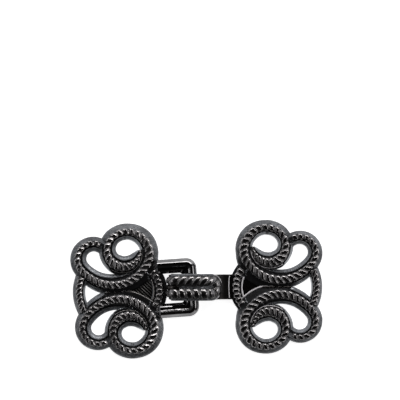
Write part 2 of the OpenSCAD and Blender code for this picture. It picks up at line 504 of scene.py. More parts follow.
class Group:
    """A node group that is built once, at its first use."""

    tree: NodeTree | None = None

    @classmethod
    def get(cls) -> NodeTree:
        """The group.

        Returns:
            The node group, built by now.
        """
        if cls.tree is None:
            cls.tree = cls.make()
        return cls.tree

    @classmethod
    def make(cls) -> NodeTree:
        """Builds the group."""
        raise NotImplementedError

    @staticmethod
    def start(name: str, kind: str, inlets: dict[str, Inlet],
              outlets: dict[str, Inlet]) -> tuple[Net, Sequence[Socket]]:
        """Starts a group with named sockets.

        Args:
            name: The group's name.
            kind: The tree's type.
            inlets: Its inputs.
            outlets: Its outputs.

        Returns:
            The empty group's net, and what the group is given.
        """
        tree = bpy.data.node_groups.new(name, kind)
        for side, sockets in (("INPUT", inlets), ("OUTPUT", outlets)):
            for label, inlet in sockets.items():
                tree.interface.new_socket(label, in_out=side, socket_type=inlet.value)
        net = Net(tree)
        return net, net.add("NodeGroupInput").outputs


class Sweep(Group):
    """Node tree that sweeps a round section along a line of edges and twists ridges round it.

    The line's points carry the cord's radius, the count of ridges up to there and the ridges' lean as attributes.
    The section's upper half keeps its height share and its lower half its root share, and a fullness over 2 squares
    the upper half's shoulders. A ridge value from 0 in a groove to 1 on a crest, and a clear value from 0 at the
    cord's foot to 1 over it, are kept for the finish, which paints shade at the cord's foot by the clear value.
    """

    RADIUS = "cord_radius"
    TURNS = "cord_turns"
    LEAN = "cord_lean"
    RIDGE = "ridge"
    CLEAR = "clear"
    NUMBERS = ("Ring Spacing", "Groove Depth", "Strand Depth", "Strands", "Height Share", "Root Share", "Fullness")
    UP = (0.0, 0.0, 1.0)
    # Heights over the cord's middle, as shares of its radius, between which each thing comes in
    RIDGES_IN = (0.02, 0.5)
    BITE_IN = (-0.5, 0.0)
    # The clear value masks the painted shade at the cord's foot
    CLEAR_IN = (0.05, 0.5)
    # How far up from a groove a crest is full, and the share of the radius that a groove may take
    CREST_FULL = 0.6
    DEEPEST = 0.6

    @classmethod
    def make(cls) -> NodeTree:
        """Builds the tree.

        Returns:
            The tree.
        """
        net, given = cls.start("twisted_cord", "GeometryNodeTree",
                               {"Line": Inlet.SHAPE, "Sides": Inlet.COUNT,
                                **dict.fromkeys(cls.NUMBERS, Inlet.NUMBER), "Finish": Inlet.FINISH},
                               {"Cord": Inlet.SHAPE})
        line = net.out("GeometryNodeMeshToCurve", {"Mesh": given["Line"]})
        line = net.out("GeometryNodeResampleCurve", {"Curve": line, "Length": given["Ring Spacing"]}, mode="LENGTH")
        line = net.out("GeometryNodeSetCurveNormal", {"Curve": line}, mode="Z_UP")
        kept = net.add("GeometryNodeCaptureAttribute")
        for label in ("centre", "ahead"):
            kept.capture_items.new("VECTOR", label)
        net.put(kept, {"Geometry": line, "centre": net.out("GeometryNodeInputPosition"),
                       "ahead": net.out("GeometryNodeInputTangent")})
        centre, ahead = kept.outputs["centre"], kept.outputs["ahead"]
        radius, turns, lean = (net.out("GeometryNodeInputNamedAttribute", {"Name": label}, data_type="FLOAT")
                               for label in (cls.RADIUS, cls.TURNS, cls.LEAN))
        circle = net.out("GeometryNodeCurvePrimitiveCircle", {"Resolution": given["Sides"], "Radius": 1.0})
        tube = net.out("GeometryNodeCurveToMesh", {"Curve": kept.outputs["Geometry"], "Profile Curve": circle,
                                                   "Scale": radius, "Fill Caps": True})

        # Where a point lies in the section, to the left and up, and the section's own height there
        reach = net.vector("SUBTRACT", net.out("GeometryNodeInputPosition"), centre)
        left = net.vector("NORMALIZE", net.vector("CROSS_PRODUCT", cls.UP, ahead))
        across = net.vector("DOT_PRODUCT", reach, left, out="Value")
        rise = net.vector("DOT_PRODUCT", reach, cls.UP, out="Value")
        aside = net.calc("MINIMUM", net.calc("ABSOLUTE", net.calc("DIVIDE", across, radius)), 1.0)
        full = net.calc("MAXIMUM", net.rest(net.calc("POWER", aside, given["Fullness"])), 0.0)
        full = net.calc("POWER", full, net.calc("DIVIDE", 1.0, given["Fullness"]))
        upper = net.times(full, radius, net.calc("GREATER_THAN", rise, 0.0), given["Height Share"])
        lower = net.times(net.calc("MINIMUM", rise, 0.0), given["Root Share"])

        # How deep the grooves and the fine lines bite, fading toward the cord's foot
        phase = net.calc("MULTIPLY_ADD", lean, across, turns)
        crest = net.rest(net.calc("ABSOLUTE", net.calc("MULTIPLY_ADD", net.calc("FRACT", phase), 2.0, -1.0)))
        level = net.calc("DIVIDE", rise, radius)
        shown = net.ramp(level, *cls.RIDGES_IN)
        top = net.times(net.ramp(crest, 0.0, cls.CREST_FULL), shown)
        groove = net.times(net.rest(top), net.calc("MULTIPLY_ADD", shown, 0.5, 0.5), given["Groove Depth"])
        fine = net.calc("SINE", net.times(phase, given["Strands"], math.tau))
        fine = net.times(net.rest(fine), 0.5, given["Strand Depth"])
        bite = net.times(net.calc("ADD", groove, fine), net.ramp(level, *cls.BITE_IN))
        bite = net.calc("MINIMUM", bite, net.times(radius, cls.DEEPEST))
        keep = net.rest(net.calc("DIVIDE", bite, radius))

        flat = net.out("ShaderNodeVectorMath", {0: left, "Scale": net.times(across, keep)}, operation="SCALE")
        high = net.out("ShaderNodeCombineXYZ", {"Z": net.times(net.calc("ADD", upper, lower), keep)})
        place = net.vector("ADD", centre, net.vector("ADD", flat, high))
        shape = net.out("GeometryNodeSetPosition", {"Geometry": tube, "Position": place})
        # The clear value is the mask of the painted shade at the cord's foot
        for label, value in ((cls.RIDGE, top), (cls.CLEAR, net.ramp(level, *cls.CLEAR_IN))):
            shape = net.out("GeometryNodeStoreNamedAttribute", {"Geometry": shape, "Name": label, "Value": value},
                            data_type="FLOAT", domain="POINT")
        return net.close(shape, given["Finish"])


class RibRow(Group):
    """Node tree of equal round ribs along X, side by side from the origin along Y."""

    SIDES = 8

    @classmethod
    def make(cls) -> NodeTree:
        """Builds the tree.

        Returns:
            The tree.
        """
        net, given = cls.start("floor_ribs", "GeometryNodeTree",
                               {"Base": Inlet.SHAPE, "Count": Inlet.COUNT,
                                **dict.fromkeys(("Spacing", "Length", "Radius"), Inlet.NUMBER),
                                "Finish": Inlet.FINISH}, {"Ribs": Inlet.SHAPE})
        step = net.out("ShaderNodeCombineXYZ", {"Y": given["Spacing"]})
        row = net.out("GeometryNodeMeshLine", {"Count": given["Count"], "Offset": step})
        rib = net.out("GeometryNodeMeshCylinder", {"Vertices": cls.SIDES, "Radius": given["Radius"],
                                                   "Depth": given["Length"]})
        many = net.out("GeometryNodeInstanceOnPoints", {"Points": row, "Instance": rib,
                                                        "Rotation": (0.0, math.pi / 2, 0.0)})
        return net.close(many, given["Finish"])


@dataclass(frozen=True)
class Twist:
    """Sizes of a twisted cord, in millimetres.

    Attributes:
        groove: Depth of the grooves between its ridges.
        strand: Depth of the fine lines on each ridge.
        strands: Fine lines on each ridge.
        height: Height as a share of the radius.
        root: Depth below its middle, as a share of the radius.
        fullness: How square its shoulders are, from 2 for a round section.
        sides: Sides of its section.
        ring: Distance between its rings.
    """

    groove: float
    strand: float = 0.0
    strands: float = 3.0
    height: float = 1.0
    root: float = 0.5
    fullness: float = 2.0
    sides: int = 44
    ring: float = 0.11

    def mesh(self, points: Sequence[Triple], radii: Sequence[float],
             pitches: Sequence[float], slants: Sequence[float], finish: Finish) -> Mesh:
        """The cord along a line.

        Args:
            points: The line's points, close together.
            radii: The cord's radius at each of them.
            pitches: Distance between its ridges at each of them.
            slants: The ridges' slant at each of them, in degrees.
            finish: The cord's finish.

        Returns:
            A closed mesh.
        """
        line = bpy.data.meshes.new("line")
        line.from_pydata([tuple(p) for p in points], [(i, i + 1) for i in range(len(points) - 1)], [])
        steps = np.linalg.norm(np.diff(np.array(points), axis=0), axis=1)
        turns = np.concatenate([[0.0], np.cumsum(steps / np.array(pitches)[1:])])
        leans = np.tan(np.radians(slants)) / np.array(pitches)
        for label, values in ((Sweep.RADIUS, radii), (Sweep.TURNS, turns), (Sweep.LEAN, leans)):
            line.attributes.new(label, "FLOAT", "POINT").data.foreach_set("value", list(values))
        return grown(line, Sweep.get(),
                     {"Sides": self.sides, "Ring Spacing": self.ring, "Groove Depth": self.groove,
                      "Strand Depth": self.strand, "Strands": self.strands, "Height Share": self.height,
                      "Root Share": self.root, "Fullness": self.fullness, "Finish": finish.material()})


# Finishes


class Wear(Group):
    """Shader group that turns a place on a casting into a tone mask, a shine mask and a height."""

    @classmethod
    def make(cls) -> NodeTree:
        """Builds the group.

        Returns:
            The group.
        """
        net, given = cls.start("plating_wear", "ShaderNodeTree",
                               {"Place": Inlet.VECTOR, "Cloud Scale": Inlet.NUMBER, "Grain Scale": Inlet.NUMBER},
                               dict.fromkeys(("Tone", "Shine", "Height"), Inlet.NUMBER))
        cloud, grain = (net.out("ShaderNodeTexNoise", {"Vector": given["Place"], "Scale": given[scale],
                                                       "Detail": detail, "Roughness": rough})
                        for scale, detail, rough in (("Cloud Scale", 4.0, 0.6), ("Grain Scale", 3.0, 0.55)))
        pits = net.out("ShaderNodeTexVoronoi", {"Vector": given["Place"], "Scale": given["Grain Scale"]})
        tone = net.ramp(cloud, 0.35, 0.68)
        shine = net.calc("ADD", net.times(net.ramp(grain, 0.3, 0.7), 0.5), net.times(tone, 0.5))
        height = net.calc("ADD", net.times(grain, 0.7), net.times(net.ramp(pits, 0.0, 0.5), 0.3))
        net.add("NodeGroupOutput", {"Tone": tone, "Shine": shine, "Height": height})
        return net.tree


def blank(name: str) -> tuple[bpy.types.Material, Net, bpy.types.Node]:
    """A new material, its net and its surface shader.

    Args:
        name: The material's name.

    Returns:
        The material, its net and its shader.
    """
    material = bpy.data.materials.new(name)
    material.use_nodes = True
    return material, Net(material.node_tree), material.node_tree.nodes["Principled BSDF"]


@dataclass(frozen=True)
class Finish:
    """A plated finish.

    Attributes:
        name: The finish's name.
        dark: Colour in grooves and under tarnish.
        bright: Colour where the plate is rubbed bright.
        rough: Roughness where it shines and where it is dull.
        bump: Height of the casting's grain, in metres.
        cloud: Scale of the tarnish's clouds.
        grain: Scale of the casting's grain.
        ridged: Whether grooves dull by the mesh's ridge value and the foot gets painted shade by its clear value.
        cast: Whether colour, roughness and grain follow the mesh's polish value.
        matte: Roughness that a full grain or a groove adds.
        crest: Ridge values between which a groove passes into a crest.
        foot_shade: Brightness of the painted shade at a cord's foot, as a share of the dark colour.
    """

    name: str
    dark: Triple
    bright: Triple
    rough: tuple[float, float]
    bump: float
    cloud: float = 260.0
    grain: float = 2600.0
    ridged: bool = False
    cast: bool = False
    matte: float = 0.55
    crest: Point = (0.05, 0.4)
    foot_shade: float = 0.2

    def material(self) -> bpy.types.Material:
        """The finish's material, made at its first use."""
        return bpy.data.materials.get(self.name) or self.make()

    def make(self) -> bpy.types.Material:
        """Builds the material.

        Returns:
            The material.
        """
        material, net, surface = blank(self.name)
        place = net.add("ShaderNodeTexCoord").outputs["Object"]
        wear = net.add("ShaderNodeGroup", {"Place": place, "Cloud Scale": self.cloud, "Grain Scale": self.grain},
                       node_tree=Wear.get()).outputs
        tone, height = wear["Tone"], wear["Height"]
        dull, shiny = self.rough[1], self.rough[0]
        rough = net.out("ShaderNodeMapRange", {"Value": wear["Shine"], "To Min": dull, "To Max": shiny})
        if self.ridged:
            crest = net.ramp(net.mark(Sweep.RIDGE), *self.crest)
            tone = net.times(crest, net.calc("MULTIPLY_ADD", tone, 0.35, 0.65))
            rough = net.calc("MULTIPLY_ADD", net.rest(crest), self.matte, rough)
        if self.cast:
            polish = net.mark(POLISH)
            grain = net.rest(polish)
            tone = net.calc("MULTIPLY_ADD", tone, 0.4, net.times(polish, 1.3), clamp=True)
            rough = net.calc("ADD", rough, net.times(grain, self.matte))
            height = net.times(height, net.calc("POWER", grain, 3.0))
        colour = net.mix(tone, self.dark, self.bright)
        # Painted shade at the cord's foot: below the clear value's ramp the colour falls to a share of the dark colour
        if self.ridged:
            colour = net.mix(net.mark(Sweep.CLEAR), tuple(self.foot_shade * part for part in self.dark), colour)
        bump = net.out("ShaderNodeBump", {"Height": height, "Distance": self.bump, "Strength": 1.0})
        net.put(surface, {"Metallic": 1.0, "Base Color": colour, "Roughness": rough, "Normal": bump})
        return material


# The cords carry painted shade at their foot, at the default share of their dark colour
CORD = Finish("cord_nickel", (0.31, 0.305, 0.305), (0.3, 0.29, 0.29), (0.08, 0.16), 0.00003, ridged=True, matte=0.4)
RIM = Finish("rim_nickel", (0.1, 0.103, 0.108), (0.32, 0.333, 0.35), (0.08, 0.18), 0.0003, grain=1900.0, cast=True,
             matte=0.36)
SMOOTH = Finish("smooth_nickel", (0.14, 0.14, 0.143), (0.2, 0.2, 0.203), (0.07, 0.14), 0.00003, grain=800.0)
FLAT = Finish("flat_nickel", (0.045, 0.042, 0.041), (0.08, 0.076, 0.075), (0.2, 0.32), 0.00001)
# Pale finishes that paint highlights on the raised lines: a bright one and a dim one
PAINTED_HIGHLIGHT = Finish("pale_highlight_nickel", (0.9, 0.89, 0.9), (0.98, 0.97, 0.98), (0.85, 0.95), 0.00001)
PAINTED_DIM_HIGHLIGHT = Finish("grey_highlight_nickel", (0.45, 0.44, 0.43), (0.62, 0.6, 0.58), (0.6, 0.7), 0.00001)
STRIP = Finish("strip_nickel", (0.022, 0.021, 0.02), (0.034, 0.032, 0.031), (0.42, 0.5), 0.00001)
RIB = Finish("rib_nickel", (0.07, 0.069, 0.067), (0.14, 0.137, 0.133), (0.42, 0.5), 0.00001)


# The castings


@dataclass
class Half:
    """One casting: flange, two mirrored scrolls, near and far cords and the V-shaped floor.

    Attributes:
        name: The half's name in the frame.
        placing: Where it lies.
        extra: What its flange is wider at each edge.
        twist: The twist of its cords.
        edge: Finish of the raised lines round its floor, a pale colour that paints their highlights.
        lit_side: Side of the floor that faces the key light and has a raised line with a painted highlight, 1 for the
            scroll and -1 for its mirror.
    """

    name: str
    placing: Placing
    extra: float
    twist: Twist
    edge: Finish
    lit_side: int
    scroll: Route = Route((-3.5, 13.2), 151.5, ((11.7, 152.5), (21.3, 114.5), (16.1, 156), (6.7, 80), (12.1, 153)))
    scroll_radii: Rows = ((0, 0.8), (0.06, 0.85), (0.12, 0.95), (0.17, 1.05), (0.25, 1.2), (0.35, 1.4), (0.45, 1.35),
                          (0.53, 1.42), (0.6, 1.25), (0.66, 0.95), (0.72, 0.95), (0.78, 1.05), (0.82, 1.25),
                          (0.86, 1.5), (0.92, 1.3), (1, 0.3))
    inner_rims: Rows = ((0, 1.3), (0.15, 1.23), (0.22, 1.32), (0.3, 1.23), (0.48, 0.8), (0.53, 0.82), (0.57, 0.86),
                        (0.61, 1.02), (0.66, 1.12), (0.8, 1.12), (0.86, 1.3), (0.9, 1.4), (0.95, 1.5), (0.975, 1.35),
                        (0.99, 0.95), (1, 0.4))
    # Width of the outer rim by share, before the floor, beside it and after it
    outer_start: Rows = ((0, 0.72), (0.1, 0.83), (0.19, 0.85), (0.24, 1.17), (0.28, 1.35), (0.32, 1.0))
    outer_bulge: Rows = ((0.36, 1.25), (0.39, 2.1), (0.43, 2.35), (0.46, 2.45), (0.49, 1.5))
    outer_end: Rows = ((0.52, 1.0), (0.58, 1.03), (0.66, 1.03), (0.73, 1.08), (0.8, 0.95), (0.84, 0.75), (1, 0.75))
    # How far the outer rim lies flat, against sloping to its edge, and how far it falls in facets to a hole
    seats: Rows = ((0.27, 0), (0.3, 1), (0.47, 1), (0.53, 0), (0.845, 0), (0.86, 1), (1, 1))
    falls: Rows = ((0.19, 0), (0.21, 1), (0.27, 1), (0.3, 0), (0.755, 0), (0.775, 1), (0.845, 1), (0.86, 0))
    ends: Point = (-0.025, 1.0)
    split: Point = (0.67, 0.685)
    near: Route = cross_route(1, 11.8, 7.5, 5.7)
    near_r: float = 1.15
    far: Route = cross_route(-1, 10.15, 11, 4.6)
    far_r: float = 1.0
    near_inner: float = 0.6
    far_inner: float = 0.45
    near_outer: float = 0.6
    far_outer: float = 0.59
    # Longest steps between a stretch's rings and between the points of a cord's line
    ring_step: float = 0.3
    line_step: float = 0.25
    # The raised lines: radius, shares of the scroll, how far beside its cord or inside the flange's edge, and how
    # far below the flange's top
    bead_r: float = 0.2
    bead_sunk: float = 0.05
    near_sunk: float = 0.04
    tail_bead: Point = (0.855, 0.985)
    tail_past: float = 0.14
    edge_r: float = 0.18
    edge_span: Point = (0.35, 0.455)
    edge_inset: float = 0.12
    edge_sunk: float = 0.2
    seam_span: Point = (-3.3, 4.6)
    # How far the grain is worn off where the rim lies flat, there on the side that faces the key light, and where it
    # falls to a hole
    seat_polish: float = 0.85
    lit_polish: float = 0.85
    fall_polish: float = 0.4
    # The line where the floor meets the near cord's rim
    floor_edge: Route = cross_route(1, 10.2, 7.6, 2.75)
    flange_t: float = 1.15
    floor_t: float = 0.7
    # Under the floor, the back's own layer, which lies a hair above the flange's flat back
    back_t: float = 0.1
    back_sunk: float = 0.01
    floor_plan: tuple[Point, ...] = ((-3.5, 0.0), (10.8, -5.2), (10.8, 5.2))
    slants: Rows = ((0, 20), (0.2, 26), (0.3, 32), (0.42, 32), (0.55, 20), (1, 22))
    # How far the cord's crest lies beside the flange's middle line
    drift: Rows = ((0.24, 0), (0.34, -0.3), (0.48, -0.3), (0.58, 0))
    pitches: Rows = ((0, 1.65), (0.8, 1.7), (0.88, 1.35), (1, 1.2))
    cross_pitch: float = 1.35
    near_slant: float = 0.0
    far_slant: float = 30.0
    near_share: Point = (0.1, 0.9)
    # Height of the flange at shares of a rim, from the cord's foot to the edge: where it slopes to the outline,
    # where it lies nearly flat beside the floor, and where it falls in two facets to a hole
    slope_profile: Rows = ((-0.25, 1.62), (0.0, 1.46), (0.15, 1.36), (0.3, 1.27), (0.45, 1.17), (0.6, 1.06),
                           (0.78, 0.9), (0.92, 0.68), (1.0, 0.4))
    flat_profile: Rows = ((-0.1, 0.8), (0.0, 0.9), (0.06, 1.02), (0.2, 1.0), (0.4, 0.98), (0.65, 0.96), (0.84, 0.95),
                          (0.94, 0.9), (1.0, 0.5))
    hole_profile: Rows = ((-0.12, 0.5), (0.0, 0.5), (0.1, 0.6), (0.15, 0.98), (0.2, 1.08), (0.28, 1.08), (0.5, 0.74),
                          (0.56, 0.7), (1.0, 0.02))
    pieces: list[bpy.types.Object] = field(default_factory=list)

    @property
    def outer_rims(self) -> Rows:
        """Width of the scroll's outer rim by share."""
        return (*self.outer_start, *self.outer_bulge, *self.outer_end)

    def stroke(self, route: Route, span: Point, radii: Rows, rims: tuple[Rows, Rows], hole_left: bool | None = None,
               ledges: tuple[Point, Point] = ((0.0, 0.0),) * 2) -> Mesh:
        """The stretch of flange that carries one cord.

        Args:
            route: The cord's route.
            span: The stretch's first and last share of the route.
            radii: The cord's radius by share.
            rims: Width of the rim to the left and to the right of the cord, by share.
            hole_left: Whether a scroll's holes lie to its left, or None for a cord that is no scroll.
            ledges: For the rims to the left and to the right of a cord that is no scroll, how far each lies flat
                and how far it falls in facets.

        Returns:
            A closed solid.
        """
        # Whether this stroke's outer rim lies on the side that faces the key light
        worn = hole_left is not None and hole_left == (self.lit_side > 0)
        rings, polish = [], []
        for share in stations(span, self.ring_step, route.length):
            r = lookup(radii, share)
            if hole_left is None:
                sides = tuple(self.rim(*ledge) for ledge in ledges)
            else:
                outer = self.rim(lookup(self.seats, share), lookup(self.falls, share), worn)
                sides = (self.rim(0.0, 1.0), outer)[::1 if hole_left else -1]
            ring, marks = [], []
            for side, rows, (profile, mark) in zip((1, -1), rims, sides):
                wide = lookup(rows, share) + self.extra
                top = [(side * (r + wide * at), z) for at, z in profile[::-1]]
                ring += [(side * (r + wide), 0.0), *top][::side]
                # The foot keeps its grain, so the flat back is of one finish
                marks += [0.0, *[mark] * len(top)][::side]
            rings.append([(*route.beside(share * route.length, n), z) for n, z in ring])
            polish.append(marks)
        return loft(rings, polish)

    def rim(self, seat: float, fall: float, worn: bool = False) -> tuple[Rows, float]:
        """A rim's profile and polish.

        Args:
            seat: How far it lies flat.
            fall: How far it falls in facets to a hole.
            worn: Whether it is on the side that faces the key light.

        Returns:
            The profile, which slopes to the edge where both are 0, and how far its grain is worn off.
        """
        shares = ((self.slope_profile, 1 - seat - fall), (self.flat_profile, seat), (self.hole_profile, fall))
        rows = [tuple(sum(share * row[k][axis] for row, share in shares) for axis in (0, 1))
                for k in range(len(self.hole_profile))]
        flat = self.lit_polish if worn else self.seat_polish
        return rows, flat * seat + self.fall_polish * fall

    def strokes(self) -> list[Mesh]:
        """All stretches of the flange.

        Returns:
            Closed solids that overlap.
        """
        made = []
        for route, rims, left in ((self.scroll, (self.inner_rims, self.outer_rims), True),
                                  (self.scroll.flipped(), (self.outer_rims, self.inner_rims), False)):
            for span in ((self.ends[0], self.split[1]), (self.split[0], self.ends[1])):
                made.append(self.stroke(route, span, self.scroll_radii, rims, left))
        for route, r, inner, outer, ledges in (
                (self.near, self.near_r, self.near_inner, self.near_outer, ((1.0, 0.0), (1.0, 0.0))),
                (self.far, self.far_r, self.far_inner, self.far_outer, ((0.0, 1.0), (0.0, 0.0)))):
            rims = (((0, inner),), ((0, outer),))
            made.append(self.stroke(route, (0.0, 1.0), ((0, r),), rims, None, ledges))
        return made

    def keep(self, name: str, mesh: Mesh, finish: Finish, edges: Edges,
             stands_for: Iterable[str] = ()) -> None:
        """Finishes a mesh as a piece of this half."""
        self.pieces.append(finished(f"{self.name}_{name}", mesh, self.placing, finish, edges, stands_for))

    def add_plate(self) -> None:
        """The flange, which stands for the half's node in the frame."""
        self.keep("plate", fused(self.strokes()), RIM, Edges.CRISP, (self.name,))

    def add_floor(self) -> None:
        """The V-shaped floor between the scrolls."""
        self.keep("floor", prism(self.floor_plan, self.back_t, self.floor_t), FLAT, Edges.CUT)
        self.keep("floor_back", prism(self.floor_plan, self.back_sunk, self.back_t), RIM, Edges.CUT)

    def cord(self, name: str, route: Route, span: Point, radii: Rows, pitches: Rows, slants: Rows,
             drift: Rows = ((0, 0),)) -> None:
        """One twisted cord on the flange.

        Args:
            name: The piece's name.
            route: The cord's route.
            span: Its first and last share of the route.
            radii: Its radius by share.
            pitches: Distance between its ridges by share.
            slants: Their slant in degrees by share.
            drift: How far it lies to the left of the route by share.
        """
        shares = stations(span, self.line_step, route.length)
        points = [(*route.beside(share * route.length, lookup(drift, share)), self.flange_t) for share in shares]
        mesh = self.twist.mesh(points, along(radii, shares), along(pitches, shares), along(slants, shares), CORD)
        self.keep(name, mesh, CORD, Edges.SOFT)

    def add_cords(self) -> None:
        """The scrolls' cords and the short ones."""
        pitches = ((0, self.cross_pitch),)
        self.cord("cord_upper", self.scroll, (0.0, 1.0), self.scroll_radii, self.pitches, self.slants, self.drift)
        other = [(share, -n) for share, n in self.drift]
        self.cord("cord_lower", self.scroll.flipped(), (0.0, 1.0), self.scroll_radii, self.pitches, self.slants, other)
        self.cord("cord_near", self.near, self.near_share, ((0, self.near_r),), pitches, ((0, self.near_slant),))
        self.cord("cord_far", self.far, (0.0, 1.0), ((0, self.far_r),), pitches, ((0, self.far_slant),))

    def bead(self, name: str, points: Sequence[Triple], finish: Finish, radius: float) -> None:
        """A thin raised line through points.

        Args:
            name: The piece's name.
            points: The points.
            finish: Its finish.
            radius: Its radius.
        """
        count = len(points)
        plain = Twist(groove=0.0, height=1.0, root=1.0, sides=12, ring=0.25)
        mesh = plain.mesh(points, [radius] * count, [1.0] * count, [0.0] * count, finish)
        self.keep(name, mesh, finish, Edges.SOFT)

    def beside_scroll(self, side: int, share: float, past: float, z: float) -> Triple:
        """Point past the outer edge of a scroll's cord, with side 1 for the scroll and -1 for its mirror."""
        route = self.scroll if side > 0 else self.scroll.flipped()
        return (*route.beside(share * route.length, -side * (lookup(self.scroll_radii, share) + past)), z)

    def add_beads(self) -> None:
        """The raised lines round the floor and along the seam between the scrolls, all but the seam's in a pale finish
        that paints their highlights.
        """
        line, top = self.floor_edge, self.flange_t
        # Pale lines that paint highlights: along the floor's edge by the near cord and in the crevices at the tails
        near = [(*line.beside(at, 0.0), top - self.near_sunk) for at in np.linspace(0, line.length, 25)]
        self.bead("bead_near", near, self.edge, self.bead_r)
        for side, label in ((1, "upper"), (-1, "lower")):
            tail = [self.beside_scroll(side, share, self.tail_past, top - self.bead_sunk)
                    for share in np.linspace(*self.tail_bead, 30)]
            self.bead(f"bead_tail_{label}", tail, self.edge, self.bead_r / 2)
        # The edge line lies only on the side that faces the key light, and its pale finish paints its highlight
        rim = [self.beside_scroll(self.lit_side, share, lookup(self.outer_rims, share) + self.extra - self.edge_inset,
                                  top - self.edge_sunk) for share in np.linspace(*self.edge_span, 30)]
        self.bead("bead_edge", rim, self.edge, self.edge_r)
        seam = [(u, 0.0, top - self.bead_sunk) for u in np.linspace(*self.seam_span, 20)]
        self.bead("bead_seam", seam, FLAT, self.bead_r)

    def build(self) -> None:
        """Builds every piece of the half."""
        self.add_plate()
        self.add_floor()
        self.add_cords()
        self.add_beads()


@dataclass
class EyeHalf(Half):
    """The casting with the squared loop."""

    outer_bulge: Rows = ((0.36, 1.0), (0.39, 1.36), (0.43, 1.5), (0.46, 1.85), (0.49, 1.4))
    near_outer: float = 0.75
    bead_r: float = 0.12
    edge_r: float = 0.13
    ribs: int = 10
    rib_gap: float = 0.68
    rib_r: float = 0.14
    rib_turn: float = -47.0
    rib_length: float = 14.0
    rib_start: Point = (5.2, -2.6)
    # The ribs are kept between these heights over the floor and inside this plan
    rib_room: Point = (-0.1, 0.3)
    rib_plan: tuple[Point, ...] = ((4.4, -0.3), (9.3, -3.0), (10.15, -0.1), (9.6, 2.9))
    loop_end: float = 22.2
    loop_half: float = 7.95
    bar_w: float = 3.9
    bar_lift: float = 1.3
    loop_corner: float = 2.8
    # Least radius of a line round the loop's corner
    least_bend: float = 0.9
    foot_u: Point = (11.3, 14.8)
    foot_root: float = 0.3
    top_u: Point = (10.5, 11.7)
    # Height over the bars' underside at insets from the loop's outer edge
    bar_profile: Rows = ((0.0, 0.0), (0.0, 0.5), (0.1, 0.72), (0.5, 1.22), (0.85, 1.6), (0.91, 1.63), (1.0, 1.675),
                         (1.1, 1.655), (1.6, 1.62), (1.72, 1.575), (2.22, 1.342), (2.34, 1.32), (3.0, 1.29),
                         (3.22, 1.187), (3.35, 1.0), (3.75, 0.5), (3.9, 0.3), (3.9, 0.0))

    def rail(self, inset: float) -> list[Point]:
        """Line round the loop at an inset from its outer edge, from one foot to the other.

        Args:
            inset: The inset.

        Returns:
            The line's points.
        """
        half, end = self.loop_half - inset, self.loop_end - inset
        r = max(self.loop_corner - inset, self.least_bend)
        low, high = self.foot_u
        straight = [low + (high - low) * k / 10 for k in range(-2, 11)]
        straight += [high + (end - r - high) * k / 4 for k in range(1, 4)]
        side = [(u, -half) for u in straight] + arc((end - r, r - half), r, (-90, 0), 13)
        side += [(end, (r - half) * (1 - k / 10)) for k in range(1, 11)]
        return side + mirrored(side[:-1])

    def ramp(self, u: float, span: Point) -> float:
        """Height of a bar's face over a span of its foot, from the flange up to the bar's own level."""
        share = min(max((u - span[0]) / (span[1] - span[0]), 0.0), 1.0)
        return self.foot_root + (self.bar_lift - self.foot_root) * (1 - math.cos(math.pi * share)) / 2

    def add_loop(self) -> None:
        """The squared loop."""
        rails = [self.rail(inset) for inset, _ in self.bar_profile]
        rings = []
        for k in range(len(rails[0])):
            rings.append([(*rail[k], z + self.ramp(rail[k][0], self.top_u if z else self.foot_u))
                          for rail, (_, z) in zip(rails, self.bar_profile)])
        self.keep("loop", loft(rings), SMOOTH, Edges.CUT)

    def add_ribs(self) -> None:
        """The fine ribs across the floor."""
        mesh = grown(bpy.data.meshes.new("ribs"), RibRow.get(),
                     {"Count": self.ribs, "Spacing": self.rib_gap, "Length": self.rib_length, "Radius": self.rib_r,
                      "Finish": RIB.material()})
        mesh.transform(Matrix.Translation((*self.rib_start, self.floor_t))
                       @ Matrix.Rotation(math.radians(self.rib_turn), 4, "Z"))
        low, high = (self.floor_t + rise for rise in self.rib_room)
        self.keep("ribs", fused([mesh, prism(self.rib_plan, low, high)], Join.COMMON), RIB, Edges.SOFT)

    def build(self) -> None:
        """Builds every piece of the half."""
        super().build()
        self.add_ribs()
        self.add_loop()


